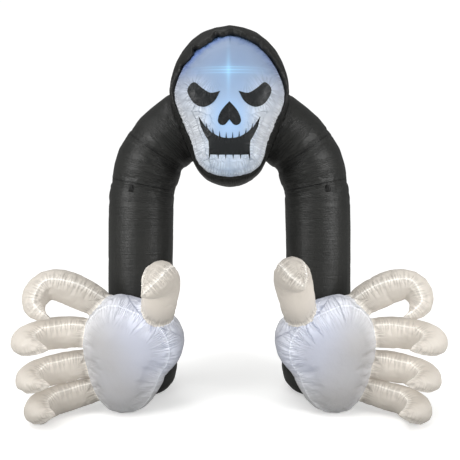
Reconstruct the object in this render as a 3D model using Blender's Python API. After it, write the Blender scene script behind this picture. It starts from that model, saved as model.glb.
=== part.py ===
# Inflatable arch: two black fabric legs, bent in gores to a hooded skull, with an open white hand at each
# foot. Units are metres, +Z up. The shapes are drawn with X = 0 in the middle of the passage, Y = 0 in the
# legs' centre plane and -Y in front, and are set down last with the origin at the middle of the footprint.
import math

import bmesh
import bpy
from mathutils import Vector

# Driving sizes
FOOTPRINT_MIDDLE = Vector((-0.0013, -0.2916, 0.0))
GAP = 0.0004  # clearance between pieces that are sewn together
PATCH_CLOTH = 0.0014  # thickness of a sewn-on face patch
TAB_CLOTH = 0.0030  # thickness of a folded tether tab
TUBE_R = 0.250  # radius of the inflated arch tube
TUBE_SIDES = 28
DIGIT_SIDES = 14

# The arch's centre line on one side: distance from the middle, height, radius factor, seam row
ARCH_ROWS = (
    # out, up, radius, seam
    (0.700, 0.000, 0.60, False),
    (0.699, 0.035, 0.86, False),
    (0.698, 0.095, 1.06, False),
    (0.696, 0.200, 1.14, False),
    (0.693, 0.420, 1.06, False),
    (0.690, 0.700, 1.01, False),
    (0.688, 1.000, 1.00, False),
    (0.684, 1.300, 1.00, False),
    (0.679, 1.500, 1.00, False),
    (0.663, 1.614, 0.975, True),
    (0.640, 1.700, 1.01, False),
    (0.612, 1.790, 1.01, False),
    (0.572, 1.871, 0.97, True),
    (0.505, 1.940, 1.01, False),
    (0.430, 2.005, 1.01, False),
    (0.330, 2.085, 1.00, False),
    (0.215, 2.150, 0.98, False),
)

# Hood: centre, depth in front and behind, and outline as angle from +X (degrees) and radius
HOOD_CENTRE = Vector((0.0, -0.030, 2.170))
HOOD_FRONT = 0.380
HOOD_BACK = 0.330
HOOD_FULLNESS = (4.0, 2.4)
HOOD_OUTLINE = (
    # angle, radius
    (-90, 0.573),
    (-76, 0.562),
    (-64, 0.520),
    (-52, 0.455),
    (-36, 0.412),
    (-14, 0.415),
    (8, 0.442),
    (28, 0.478),
    (48, 0.526),
    (70, 0.573),
    (90, 0.588),
)

# Skull: the same, with its face panel's seam a little in front of its widest line
SKULL_CENTRE = Vector((0.0, -0.370, 2.170))
SKULL_FRONT = 0.215
SKULL_BACK = 0.200
SKULL_FULLNESS = (2.7, 2.7)
SKULL_SEAM_Y = -0.440
SKULL_OUTLINE = (
    # angle, radius
    (-90, 0.509),
    (-74, 0.504),
    (-64, 0.482),
    (-52, 0.409),
    (-38, 0.360),
    (-18, 0.349),
    (-2, 0.374),
    (9, 0.391),
    (24, 0.392),
    (44, 0.405),
    (66, 0.434),
    (90, 0.455),
)

# Hood brim: a padded roll over the forehead
BRIM_ROWS = (
    # angle, roll radius, y
    (-14, 0.010, -0.330),
    (2, 0.020, -0.345),
    (22, 0.029, -0.362),
    (45, 0.036, -0.378),
    (68, 0.040, -0.388),
    (90, 0.041, -0.392),
)
BRIM_SEAT = 0.012  # how far the roll sits down over the skull's rim

# Palm: the left one's centre, depth in front and behind, and outline with 0 degrees pointing outward
PALM_CENTRE = (0.680, -0.430, 0.420)
PALM_FRONT = 0.205
PALM_BACK = 0.215
PALM_FULLNESS = (2.4, 2.4)
PALM_SEAM_Y = -0.5425  # the front panel's seam, at the palm's centre
PALM_SEAM_LEAN = (0.125, 0.063)  # how far its plane comes forward for each metre inward and each metre up
PALM_OUTLINE = (
    # angle, radius
    (0, 0.340),
    (30, 0.385),
    (55, 0.432),
    (72, 0.440),
    (92, 0.395),
    (118, 0.383),
    (142, 0.396),
    (165, 0.372),
    (186, 0.330),
    (210, 0.278),
    (234, 0.314),
    (258, 0.392),
    (278, 0.428),
    (294, 0.428),
    (314, 0.378),
    (338, 0.335),
)

# Digits: distance from the middle, y, height and radius along each centre line
DIGITS = {
    "thumb": (
        # out, y, up, radius
        (0.520, -0.400, 0.560, 0.108),
        (0.500, -0.468, 0.690, 0.118),
        (0.474, -0.558, 0.820, 0.123),
        (0.452, -0.625, 0.935, 0.123),
        (0.446, -0.692, 0.988, 0.119),
        (0.462, -0.762, 0.972, 0.110),
        (0.492, -0.812, 0.938, 0.084),
        (0.522, -0.838, 0.912, 0.048),
        (0.550, -0.850, 0.898, 0.012),
    ),
    "index": (
        (0.860, -0.400, 0.730, 0.090),
        (0.960, -0.405, 0.790, 0.106),
        (1.070, -0.415, 0.850, 0.114),
        (1.180, -0.425, 0.893, 0.114),
        (1.275, -0.440, 0.893, 0.108),
        (1.332, -0.480, 0.838, 0.096),
        (1.330, -0.530, 0.765, 0.076),
        (1.275, -0.570, 0.717, 0.046),
        (1.205, -0.592, 0.700, 0.012),
    ),
    "middle": (
        (0.910, -0.400, 0.548, 0.094),
        (1.020, -0.405, 0.558, 0.106),
        (1.135, -0.415, 0.563, 0.113),
        (1.255, -0.440, 0.563, 0.113),
        (1.348, -0.505, 0.557, 0.105),
        (1.376, -0.590, 0.548, 0.095),
        (1.340, -0.670, 0.543, 0.079),
        (1.258, -0.735, 0.540, 0.050),
        (1.160, -0.775, 0.538, 0.012),
    ),
    "ring": (
        (0.890, -0.400, 0.345, 0.092),
        (0.995, -0.405, 0.335, 0.101),
        (1.105, -0.415, 0.324, 0.108),
        (1.220, -0.440, 0.312, 0.109),
        (1.318, -0.505, 0.300, 0.103),
        (1.352, -0.590, 0.292, 0.094),
        (1.320, -0.670, 0.290, 0.077),
        (1.245, -0.735, 0.296, 0.049),
        (1.155, -0.772, 0.304, 0.012),
    ),
    "little": (
        (0.850, -0.400, 0.170, 0.088),
        (0.945, -0.410, 0.155, 0.094),
        (1.045, -0.430, 0.138, 0.099),
        (1.150, -0.470, 0.120, 0.102),
        (1.238, -0.540, 0.108, 0.103),
        (1.272, -0.625, 0.102, 0.104),
        (1.250, -0.705, 0.104, 0.086),
        (1.190, -0.765, 0.112, 0.052),
        (1.115, -0.800, 0.122, 0.012),
    ),
}

# How far each tip of the right hand reaches inward and upward past the left hand's
RIGHT_TIPS = {
    "thumb": (0.075, 0.050),
    "index": (0.035, 0.008),
    "middle": (0.004, 0.000),
    "ring": (0.020, 0.008),
    "little": (0.030, 0.000),
}

# Face patches on the right half of the face
EYE = (
    # x, z, sharp
    (0.060, 2.214, True),
    (0.124, 2.202, False),
    (0.182, 2.236, False),
    (0.236, 2.276, False),
    (0.280, 2.226, False),
    (0.238, 2.142, False),
    (0.170, 2.112, False),
    (0.102, 2.144, False),
)
NOSE_TOP = 2.146
NOSE_HALF = 0.077
NOSE_LOW = 1.991
NOSE_NOTCH = 2.028
MOUTH_CORNER = Vector((0.206, 2.049))
TEETH_LOW = 1.908  # lowest point of the upper row of teeth
JAW_HALF = 0.140
JAW_TOP = 1.892
JAW_LOW = 1.803
SLIT_HALF = 0.0045
SLIT_LENGTH = 0.042
UPPER_SLITS = (0.021, 0.064, 0.108, 0.150)
LOWER_SLITS = (0.025, 0.075)

# Tether tab at the outer front of each leg, just under the shoulder seam
TAB_OUT = 0.721
TAB_TOP = 1.610
TAB_WIDTH = 0.040
TAB_LENGTH = 0.050

COLOURS = {
    # red, green, blue, roughness
    "black_fabric": (0.030, 0.031, 0.030, 0.62),
    "white_fabric": (0.800, 0.800, 0.790, 0.55),
    "face_fabric": (0.600, 0.670, 0.830, 0.55),
    "patch_fabric": (0.022, 0.024, 0.026, 0.60),
}

for old in list(bpy.data.objects):
    bpy.data.objects.remove(old, do_unlink=True)

PARTS = bpy.data.collections.new("inflatable_arch")
CUTTERS = bpy.data.collections.new("cutters")
bpy.context.scene.collection.children.link(PARTS)
bpy.context.scene.collection.children.link(CUTTERS)


def make_material(name):
    red, green, blue, roughness = COLOURS[name]
    material = bpy.data.materials.new(name)
    material.use_nodes = True
    shader = material.node_tree.nodes["Principled BSDF"]
    shader.inputs["Base Color"].default_value = (red, green, blue, 1.0)
    shader.inputs["Roughness"].default_value = roughness
    return material


MATERIALS = {name: make_material(name) for name in COLOURS}


def finish_object(name, mesh, material, smooth=True):
    """Links a mesh as one named part."""
    part = bpy.data.objects.new(name, mesh)
    part.data.materials.clear()
    part.data.materials.append(MATERIALS[material])
    PARTS.objects.link(part)
    if smooth:
        mesh.shade_smooth()
        mesh.set_sharp_from_angle(angle=math.radians(40))
    return part


def smooth_rows(rows, steps):
    """Points on a smooth curve through the rows, a few for each span."""
    rows = [Vector(row) if len(row) < 5 else row for row in rows]
    ends = [rows[0] * 2 - rows[1], *rows, rows[-1] * 2 - rows[-2]]
    points = []
    for before, start, end, after in zip(ends, ends[1:], ends[2:], ends[3:]):
        for step in range(steps):
            t = step / steps
            points.append(
                0.5
                * (
                    2 * start
                    + (end - before) * t
                    + (2 * before - 5 * start + 4 * end - after) * t * t
                    + (3 * start - before - 3 * end + after) * t * t * t
                )
            )
    points.append(rows[-1])
    return points


def outline_radius(table, angle, full_turn):
    """The outline's radius at an angle in degrees, eased between the table's rows."""
    if full_turn:
        rows = [(table[-1][0] - 360, table[-1][1]), *table, (table[0][0] + 360, table[0][1])]
        rows = [(table[-2][0] - 360, table[-2][1]), *rows, (table[1][0] + 360, table[1][1])]
        angle = angle % 360
    else:
        angle = (angle + 90) % 360 - 90
        angle = 180 - angle if angle > 90 else angle
        first, last = table[0], table[-1]
        rows = [(-180 - table[1][0], table[1][1]), *table, (180 - table[-2][0], table[-2][1])]
        if angle <= first[0] + 1e-9:
            return first[1]
        if angle >= last[0] - 1e-9:
            return last[1]
    for index in range(1, len(rows) - 2):
        low, high = rows[index], rows[index + 1]
        if low[0] <= angle <= high[0]:
            before, after = rows[index - 1], rows[index + 2]
            span = high[0] - low[0]
            t = (angle - low[0]) / span
            slope_low = (high[1] - before[1]) / (high[0] - before[0]) * span
            slope_high = (after[1] - low[1]) / (after[0] - low[0]) * span
            return (
                (2 * t**3 - 3 * t**2 + 1) * low[1]
                + (t**3 - 2 * t**2 + t) * slope_low
                + (3 * t**2 - 2 * t**3) * high[1]
                + (t**3 - t**2) * slope_high
            )
    return rows[-1][1]


def pillow(outline, centre, depths, fullness, segments, rings, side=1, full_turn=False):
    """An inflated form: a sphere drawn out to an outline in X and Z.

    depths and fullness each give the front's value and the back's, and fullness over 2 is a flatter face with
    a rounder rim. With a full turn the outline has its own left half, and side -1 points it to the left."""
    work = bmesh.new()
    bmesh.ops.create_uvsphere(work, u_segments=segments, v_segments=rings, radius=1.0)
    for vertex in work.verts:
        across = math.hypot(vertex.co.x, vertex.co.y)
        turn = math.degrees(math.atan2(vertex.co.y, vertex.co.x))
        rim = math.atan2(across, abs(vertex.co.z))
        half = 0 if vertex.co.z > 0 else 1
        power = 2 / fullness[half]
        wide = math.sin(rim) ** power if across > 1e-6 else 0.0
        deep = math.cos(rim) ** power if abs(vertex.co.z) > 1e-6 else 0.0
        radius = outline_radius(outline, turn, full_turn) * wide
        depth = depths[half] * (-1, 1)[half]
        vertex.co = Vector(
            (
                centre.x + side * radius * math.cos(math.radians(turn)),
                centre.y + depth * deep,
                centre.z + radius * math.sin(math.radians(turn)),
            )
        )
    face_outward(work)
    mesh = bpy.data.meshes.new("pillow")
    work.to_mesh(mesh)
    work.free()
    return mesh


def tube(points, sides):
    """A closed mesh tube through points of x, y, z and radius, made from a bevelled curve."""
    curve = bpy.data.curves.new("tube", "CURVE")
    curve.dimensions = "3D"
    curve.bevel_depth = 0.1
    curve.bevel_resolution = (sides - 4) // 2
    curve.use_fill_caps = True
    spline = curve.splines.new("POLY")
    spline.points.add(len(points) - 1)
    for spot, (x, y, z, radius) in zip(spline.points, points):
        spot.co = (x, y, z, 1.0)
        spot.radius = radius / curve.bevel_depth
    holder = bpy.data.objects.new("tube", curve)
    CUTTERS.objects.link(holder)
    bpy.context.view_layer.update()
    graph = bpy.context.evaluated_depsgraph_get()
    mesh = bpy.data.meshes.new_from_object(holder.evaluated_get(graph))
    bpy.data.objects.remove(holder, do_unlink=True)
    work = bmesh.new()
    work.from_mesh(mesh)
    bmesh.ops.remove_doubles(work, verts=work.verts, dist=0.00005)
    face_outward(work)
    work.to_mesh(mesh)
    work.free()
    return mesh


def face_outward(work):
    """Turns every face outward, judged by the sign of the volume."""
    bmesh.ops.recalc_face_normals(work, faces=work.faces)
    if work.calc_volume(signed=True) < 0:
        bmesh.ops.reverse_faces(work, faces=work.faces)


def cut_plane(mesh, point, normal):
    """Keeps the side of a plane that the normal points away from, and closes the cut."""
    work = bmesh.new()
    work.from_mesh(mesh)
    parts = work.verts[:] + work.edges[:] + work.faces[:]
    bmesh.ops.bisect_plane(work, geom=parts, dist=1e-6, plane_co=point, plane_no=normal, clear_outer=True)
    rim = [edge for edge in work.edges if edge.is_boundary]
    if rim:
        bmesh.ops.holes_fill(work, edges=rim)
    face_outward(work)
    work.to_mesh(mesh)
    work.free()


def grown(part, amount):
    """A cutter: a copy of a part's mesh moved out along its normals by the sewing clearance."""
    graph = bpy.context.evaluated_depsgraph_get()
    mesh = bpy.data.meshes.new_from_object(part.evaluated_get(graph))
    work = bmesh.new()
    work.from_mesh(mesh)
    work.normal_update()
    moved = {vertex: vertex.co + vertex.normal * amount for vertex in work.verts}
    for vertex, place in moved.items():
        vertex.co = place
    work.to_mesh(mesh)
    work.free()
    cutter = bpy.data.objects.new(part.name + "_cutter", mesh)
    cutter.hide_render = True
    cutter.display_type = "WIRE"
    CUTTERS.objects.link(cutter)
    return cutter


def cut(part, cutter, operation="DIFFERENCE"):
    """Takes the cutter's shape out of the part, or keeps only what they share, as one piece."""
    modifier = part.modifiers.new("cut", "BOOLEAN")
    modifier.operation = operation
    modifier.object = cutter
    bpy.context.view_layer.update()
    graph = bpy.context.evaluated_depsgraph_get()
    mesh = bpy.data.meshes.new_from_object(part.evaluated_get(graph))
    part.modifiers.clear()
    work = bmesh.new()
    work.from_mesh(mesh)
    bmesh.ops.remove_doubles(work, verts=work.verts, dist=0.0002)
    bmesh.ops.dissolve_degenerate(work, edges=work.edges, dist=0.0002)
    drop_small_shells(work)
    face_outward(work)
    work.to_mesh(mesh)
    work.free()
    part.data = mesh


def drop_small_shells(work):
    """Leaves only the connected shell that has the most vertices."""
    left = set(work.verts)
    shells = []
    while left:
        found, edge_of_search = set(), [left.pop()]
        while edge_of_search:
            vertex = edge_of_search.pop()
            found.add(vertex)
            for edge in vertex.link_edges:
                other = edge.other_vert(vertex)
                if other in left:
                    left.discard(other)
                    edge_of_search.append(other)
        shells.append(found)
    largest = max(shells, key=len)
    spare = [vertex for shell in shells if shell is not largest for vertex in shell]
    if spare:
        bmesh.ops.delete(work, geom=spare, context="VERTS")


def make_arch_side(side, name):
    """The leg and the two gores of one side, cut from one tube at the mitred seams."""
    points = [
        Vector((side * out, 0.0, up, TUBE_R * factor)) for out, up, factor, _ in ARCH_ROWS
    ]
    seams = [index for index, row in enumerate(ARCH_ROWS) if row[3]]
    planes = []
    for index in seams:
        before = (points[index] - points[index - 1]).to_3d().normalized()
        after = (points[index + 1] - points[index]).to_3d().normalized()
        planes.append((points[index].to_3d(), (before + after).normalized()))
    pieces = []
    for label, low, high in (
        ("leg", None, planes[0]),
        ("gore_lower", planes[0], planes[1]),
        ("gore_upper", planes[1], None),
    ):
        mesh = tube(points, TUBE_SIDES)
        if high:
            cut_plane(mesh, high[0] - high[1] * GAP / 2, high[1])
        if low:
            cut_plane(mesh, low[0] + low[1] * GAP / 2, -low[1])
        if label == "leg":
            cut_plane(mesh, Vector((0, 0, 0)), Vector((0, 0, -1)))
        pieces.append(finish_object(f"{label}_{name}", mesh, "black_fabric"))
    return pieces


def make_hood():
    mesh = pillow(HOOD_OUTLINE, HOOD_CENTRE, (HOOD_FRONT, HOOD_BACK), HOOD_FULLNESS, 36, 18)
    return finish_object("hood", mesh, "black_fabric")


def make_skull(hood_cutter):
    """The face panel and the gusset behind it, parted at the seam and seated on the hood."""
    pieces = []
    for name, point, normal in (
        ("skull_face", SKULL_SEAM_Y - GAP / 2, Vector((0, 1, 0))),
        ("skull_gusset", SKULL_SEAM_Y + GAP / 2, Vector((0, -1, 0))),
    ):
        mesh = pillow(SKULL_OUTLINE, SKULL_CENTRE, (SKULL_FRONT, SKULL_BACK), SKULL_FULLNESS, 40, 18)
        cut_plane(mesh, Vector((0, point, 0)), normal)
        pieces.append(finish_object(name, mesh, "face_fabric"))
    cut(pieces[1], hood_cutter)
    return pieces


def make_brim(cutters):
    """The padded roll along the hood's front edge."""
    half = [Vector(row) for row in BRIM_ROWS]
    rows = half + [Vector((180 - row.x, row.y, row.z)) for row in reversed(half[:-1])]
    points = []
    for row in smooth_rows(rows, 2):
        radius = outline_radius(SKULL_OUTLINE, row.x, False) + row.y - BRIM_SEAT
        turn = math.radians(row.x)
        points.append(
            (
                SKULL_CENTRE.x + radius * math.cos(turn),
                row.z,
                SKULL_CENTRE.z + radius * math.sin(turn),
                row.y,
            )
        )
    brim = finish_object("hood_brim", tube(points, 12), "black_fabric")
    for cutter in cutters:
        cut(brim, cutter)
    return brim


def make_palm(side, name, leg_cutter):
    """The palm's front panel and the gusset with its back panel, parted at the seam."""
    centre = Vector((side * PALM_CENTRE[0], PALM_CENTRE[1], PALM_CENTRE[2]))
    backward = Vector((-side * PALM_SEAM_LEAN[0], 1.0, PALM_SEAM_LEAN[1])).normalized()
    seam = Vector((centre.x, PALM_SEAM_Y, centre.z))
    pieces = []
    for label, normal in (("palm_front", backward), ("palm_back", -backward)):
        depths = (PALM_FRONT, PALM_BACK)
        mesh = pillow(PALM_OUTLINE, centre, depths, PALM_FULLNESS, 32, 16, side, full_turn=True)
        cut_plane(mesh, seam - normal * GAP / 2, normal)
        cut_plane(mesh, Vector((0, 0, 0)), Vector((0, 0, -1)))
        pieces.append(finish_object(f"{label}_{name}", mesh, "white_fabric"))
    cut(pieces[1], leg_cutter)
    return pieces


def digit_points(digit, side):
    """The digit's centre line, with the right hand's own reach growing towards the tip."""
    rows = DIGITS[digit]
    inward, raised = RIGHT_TIPS[digit] if side > 0 else (0.0, 0.0)
    points = []
    for index, (out, y, up, radius) in enumerate(rows):
        share = index / (len(rows) - 1)
        points.append(Vector((side * (out - inward * share), y, up + raised * share, radius)))
    return [tuple(point) for point in smooth_rows(points, 2)]


def make_digit(digit, side, name, cutters):
    mesh = tube(digit_points(digit, side), DIGIT_SIDES)
    if digit == "little":
        cut_plane(mesh, Vector((0, 0, 0)), Vector((0, 0, -1)))
    part = finish_object(f"{digit}_{name}", mesh, "white_fabric")
    for cutter in cutters:
        cut(part, cutter)
    return part


def eye_outline(side):
    """One eye socket's outline, rounded between its points and sharp at the inner corner."""
    rows = [Vector((side * x, z)) for x, z, _ in EYE]
    steps = 4
    points = []
    count = len(rows)
    for index in range(count):
        before, start = rows[index - 1], rows[index]
        end, after = rows[(index + 1) % count], rows[(index + 2) % count]
        if EYE[index][2]:
            before = start * 2 - end
        if EYE[(index + 1) % count][2]:
            after = end * 2 - start
        for step in range(steps):
            t = step / steps
            points.append(
                0.5
                * (
                    2 * start
                    + (end - before) * t
                    + (2 * before - 5 * start + 4 * end - after) * t * t
                    + (3 * start - before - 3 * end + after) * t * t * t
                )
            )
    return points


def nose_outline():
    """An upside-down heart: two lobes below a point."""
    steps = 7
    lobe_r = NOSE_HALF * 0.42
    lobe_x = NOSE_HALF - lobe_r
    lobe_z = NOSE_LOW + lobe_r
    side_end = Vector((NOSE_HALF, lobe_z + 0.010))
    half = [Vector((0.0, NOSE_TOP))]
    for step in range(1, steps):
        share = step / steps
        bow = math.sin(math.pi * share) * 0.012
        half.append(Vector((side_end.x * share + bow, NOSE_TOP + (side_end.y - NOSE_TOP) * share)))
    for step in range(steps):
        turn = -math.pi * 0.72 * step / (steps - 1)
        half.append(Vector((lobe_x + lobe_r * math.cos(turn), lobe_z + lobe_r * math.sin(turn))))
    return half + [Vector((0.0, NOSE_NOTCH))] + mirrored(half[1:])


def mirrored(half):
    """The same points on the other half of the face, in the order that closes the outline."""
    return [Vector((-point.x, point.y)) for point in reversed(half)]


def upper_teeth(x):
    """Height of the upper teeth's edge, which rises to the mouth's corners."""
    share = abs(x) / MOUTH_CORNER.x
    return TEETH_LOW + (MOUTH_CORNER.y - TEETH_LOW) * share**2.3


def mouth_outline():
    """A grin with slits between its teeth, above and below an open jaw."""
    half = []
    for place in UPPER_SLITS:
        height = upper_teeth(place)
        length = SLIT_LENGTH * (1.0 - 1.4 * place)
        shoulder = SLIT_HALF + 0.012
        half += [
            Vector((place - shoulder, upper_teeth(place - shoulder))),
            Vector((place - SLIT_HALF, height)),
            Vector((place * 1.03, height + length)),
            Vector((place + SLIT_HALF, height)),
            Vector((place + shoulder, upper_teeth(place + shoulder))),
        ]
    jaw_middle = (JAW_TOP + JAW_LOW) / 2
    half += [
        Vector((MOUTH_CORNER.x, MOUTH_CORNER.y + 0.006)),
        Vector((0.190, 1.985)),
        Vector((0.162, 1.928)),
        Vector((JAW_HALF, JAW_TOP)),
        Vector((JAW_HALF - 0.004, jaw_middle)),
        Vector((JAW_HALF, JAW_LOW - SLIT_LENGTH)),
        Vector((JAW_HALF - 0.012, JAW_LOW)),
    ]
    for place in reversed(LOWER_SLITS):
        half += [
            Vector((place + SLIT_HALF, JAW_LOW - 0.003)),
            Vector((place, JAW_LOW - SLIT_LENGTH * 0.8)),
            Vector((place - SLIT_HALF, JAW_LOW - 0.003)),
        ]
    return half + mirrored(half)


def tab_outline(side):
    """A tab with a round lower end."""
    radius = TAB_WIDTH / 2
    steps = 8
    round_z = TAB_TOP - TAB_LENGTH + radius
    points = [Vector((side * TAB_OUT + radius, TAB_TOP)), Vector((side * TAB_OUT - radius, TAB_TOP))]
    for step in range(steps + 1):
        turn = math.pi + math.pi * step / steps
        points.append(
            Vector((side * TAB_OUT + radius * math.cos(turn), round_z + radius * math.sin(turn)))
        )
    return points


def make_patch(name, outline, base, cloth, material):
    """Cloth of one thickness that lies on the base's front, inside an outline seen from the front."""
    outer = grown(base, GAP + cloth)
    work = bmesh.new()
    front = min((outer.matrix_world @ Vector(corner)).y for corner in outer.bound_box) - 0.05
    flat = work.faces.new([work.verts.new((point.x, front, point.y)) for point in outline])
    deep = bmesh.ops.extrude_face_region(work, geom=[flat])
    moved = [item for item in deep["geom"] if isinstance(item, bmesh.types.BMVert)]
    bmesh.ops.translate(work, verts=moved, vec=(0.0, 0.20, 0.0))
    face_outward(work)
    mesh = bpy.data.meshes.new(name)
    work.to_mesh(mesh)
    work.free()
    patch = finish_object(name, mesh, material, smooth=False)
    cut(patch, outer, "INTERSECT")
    cut(patch, grown(base, GAP))
    return patch


def main():
    hood = make_hood()
    hood_cutter = grown(hood, GAP)
    face, gusset = make_skull(hood_cutter)
    make_brim([hood_cutter, grown(face, GAP), grown(gusset, GAP)])
    make_patch("eye_left", eye_outline(-1), face, PATCH_CLOTH, "patch_fabric")
    make_patch("eye_right", eye_outline(1), face, PATCH_CLOTH, "patch_fabric")
    make_patch("nose", nose_outline(), face, PATCH_CLOTH, "patch_fabric")
    make_patch("mouth", mouth_outline(), face, PATCH_CLOTH, "patch_fabric")
    for side, name in ((-1, "left"), (1, "right")):
        leg, _, upper = make_arch_side(side, name)
        cut(upper, hood_cutter)
        make_patch(f"tether_tab_{name}", tab_outline(side), leg, TAB_CLOTH, "black_fabric")
        front, back = make_palm(side, name, grown(leg, GAP))
        palm_cutters = [grown(front, GAP), grown(back, GAP)]
        make_digit("thumb", side, name, palm_cutters)
        neighbour = []
        for digit in ("index", "middle", "ring", "little"):
            part = make_digit(digit, side, name, palm_cutters + neighbour)
            neighbour = [grown(part, GAP)]
    for part in PARTS.objects:
        part.location = -FOOTPRINT_MIDDLE


main()
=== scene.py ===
# %% [markdown]
# # An inflatable arch with a hooded skull and two open hands
#
# This is a yard decoration: two black cloth legs rise, bend inward in sewn gores and meet in a hood, with a
# lit skull in the hood and a big white hand at the foot of each leg. A blower keeps all of it full of air.
# The lesson dresses the arch in its real cloth. The solids that come in are smooth. Real inflated cloth is
# not: a seam is shorter than the cloth beside it, so the cloth gathers into small folds that run away from
# the seam. We blow each piece up with a cloth simulation, then draw those gathers in from the seams.

# %% Load the solids
import math

import bmesh
import bpy
import numpy as np
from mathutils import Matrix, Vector, bvhtree, kdtree


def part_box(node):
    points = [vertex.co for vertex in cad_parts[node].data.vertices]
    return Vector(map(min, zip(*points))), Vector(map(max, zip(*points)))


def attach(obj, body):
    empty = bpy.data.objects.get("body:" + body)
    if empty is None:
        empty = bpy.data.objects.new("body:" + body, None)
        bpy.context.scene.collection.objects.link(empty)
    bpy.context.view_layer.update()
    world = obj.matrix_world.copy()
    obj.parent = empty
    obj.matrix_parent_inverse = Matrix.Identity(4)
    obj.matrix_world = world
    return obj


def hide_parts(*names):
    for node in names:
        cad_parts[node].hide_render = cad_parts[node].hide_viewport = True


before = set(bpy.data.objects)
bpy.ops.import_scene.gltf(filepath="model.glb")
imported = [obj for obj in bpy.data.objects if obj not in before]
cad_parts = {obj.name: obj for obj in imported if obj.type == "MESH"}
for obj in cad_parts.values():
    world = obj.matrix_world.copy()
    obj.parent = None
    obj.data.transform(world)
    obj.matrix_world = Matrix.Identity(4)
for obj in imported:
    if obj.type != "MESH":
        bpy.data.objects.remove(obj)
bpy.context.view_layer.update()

MIDDLE = Vector((0.0013, 0.2916, 0.0))  # the middle of the passage, between the legs
SIDES = ((-1, "left"), (1, "right"))

# %% [markdown]
# ## Picking up a solid
#
# A piece of cloth starts as a copy of its solid, so it lies where the solid lies. The solid is made of
# loose triangles, so the copy's double points are merged first. The copy is a new object, and the solid
# stays as it is.

# %% Copy a solid as a cloth piece


def select_only(piece):
    bpy.ops.object.select_all(action="DESELECT")
    piece.select_set(True)
    bpy.context.view_layer.objects.active = piece


def cloth_copy(node, name):
    """A new object with one solid's mesh, its double points merged."""
    piece = bpy.data.objects.new(name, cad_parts[node].data.copy())
    bpy.context.scene.collection.objects.link(piece)
    select_only(piece)
    bpy.ops.object.mode_set(mode="EDIT")
    bpy.ops.mesh.select_all(action="SELECT")
    bpy.ops.mesh.remove_doubles(threshold=0.0001)
    bpy.ops.object.mode_set(mode="OBJECT")
    return piece


def apply_all(piece):
    select_only(piece)
    for modifier in list(piece.modifiers):
        bpy.ops.object.modifier_apply(modifier=modifier.name)


def places_of(mesh):
    places = np.empty(len(mesh.vertices) * 3)
    mesh.vertices.foreach_get("co", places)
    return places.reshape(-1, 3)


def normals_of(mesh):
    normals = np.empty(len(mesh.vertices) * 3)
    mesh.vertices.foreach_get("normal", normals)
    return normals.reshape(-1, 3)


def put_places(mesh, places):
    mesh.vertices.foreach_set("co", np.ascontiguousarray(places).ravel())
    mesh.update()


# %% [markdown]
# ## Finding the sewn seams
#
# Two pieces are sewn where their solids meet. On each solid that line is a sharp rim round a cut face. We
# take the rim's points that touch the neighbour, put them in order round the joint, and lay a point every 5
# mm. From then on a seam is two lists: where its points are, and how far along the seam each one is.

# %% Seam lines from the solids
SEAM_STEP = 0.005  # metres between two points of a seam line
SHARP = math.radians(32)  # an edge that turns more than this is a rim
TOUCH = 0.002  # metres within which a rim touches its neighbour
FLOOR_RIM = 0.004  # metres of height below which a rim is the foot on the floor, not a seam


def even_line(points, closed):
    """Points every few millimetres along a line, and each one's distance from its start."""
    points = np.asarray(points, dtype=float)
    if closed:
        points = np.vstack([points, points[:1]])
    lengths = np.r_[0.0, np.cumsum(np.linalg.norm(np.diff(points, axis=0), axis=1))]
    along = np.arange(0.0, lengths[-1], SEAM_STEP)
    return np.column_stack([np.interp(along, lengths, points[:, axis]) for axis in range(3)]), along


def loose_copy(node):
    """A solid's mesh as merged bmesh, for measuring only."""
    work = bmesh.new()
    work.from_mesh(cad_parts[node].data)
    bmesh.ops.remove_doubles(work, verts=work.verts, dist=0.0001)
    return work


def joint_seam(node, *neighbours):
    """The seam line where one solid meets its neighbours, as a closed loop."""
    trees = []
    for neighbour in neighbours:
        other = loose_copy(neighbour)
        trees.append(bvhtree.BVHTree.FromBMesh(other))
        other.free()
    work = loose_copy(node)
    touching = []
    for edge in work.edges:
        if len(edge.link_faces) == 2 and edge.calc_face_angle() > SHARP:
            touching += [
                vertex.co.copy()
                for vertex in edge.verts
                if vertex.co.z > FLOOR_RIM and any(tree.find_nearest(vertex.co, TOUCH)[0] for tree in trees)
            ]
    work.free()
    points = np.unique(np.round(np.array(touching), 4), axis=0)
    centre = points.mean(axis=0)
    across = np.linalg.svd(points - centre)[2]
    turn = np.arctan2((points - centre) @ across[1], (points - centre) @ across[0])
    return even_line(points[np.argsort(turn)], closed=True)


SEAMS = {"face": joint_seam("skull_face", "skull_gusset"), "face_rim": joint_seam("skull_gusset", "hood")}
for _, hand in SIDES:
    SEAMS[f"shoulder_{hand}"] = joint_seam(f"leg_{hand}", f"gore_lower_{hand}")
    SEAMS[f"elbow_{hand}"] = joint_seam(f"gore_lower_{hand}", f"gore_upper_{hand}")
    SEAMS[f"neck_{hand}"] = joint_seam(f"gore_upper_{hand}", "hood")
    SEAMS[f"palm_{hand}"] = joint_seam(f"palm_front_{hand}", f"palm_back_{hand}")
    for digit in ("thumb", "index", "middle", "ring", "little"):
        SEAMS[f"{digit}_{hand}"] = joint_seam(f"{digit}_{hand}", f"palm_front_{hand}", f"palm_back_{hand}")
for name, (points, along) in SEAMS.items():
    print(f"seam {name}: {along[-1] * 1000:.0f} mm round")

# %% [markdown]
# ## Blowing a piece up
#
# The cloth between two seams bellies out under the air, and the seams hold it back. That is what the
# simulation shows. The copy is remeshed to even squares, moved in a little, and pinned along its seams.
# Then the air presses on it for a few frames with gravity off. The cloth is cut a few per cent too big, as
# the real one is, so it buckles beside the pinned seams. How far a point may move is capped, because the
# solid already has the true size.

# %% Inflate one piece
FRAMES = 14
BURIED = 0.024  # metres that a sewn end goes on into its neighbour before it is trimmed
APART = 9.37  # metres added along each further seam of a piece, so that no two seams have the same folds


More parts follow.
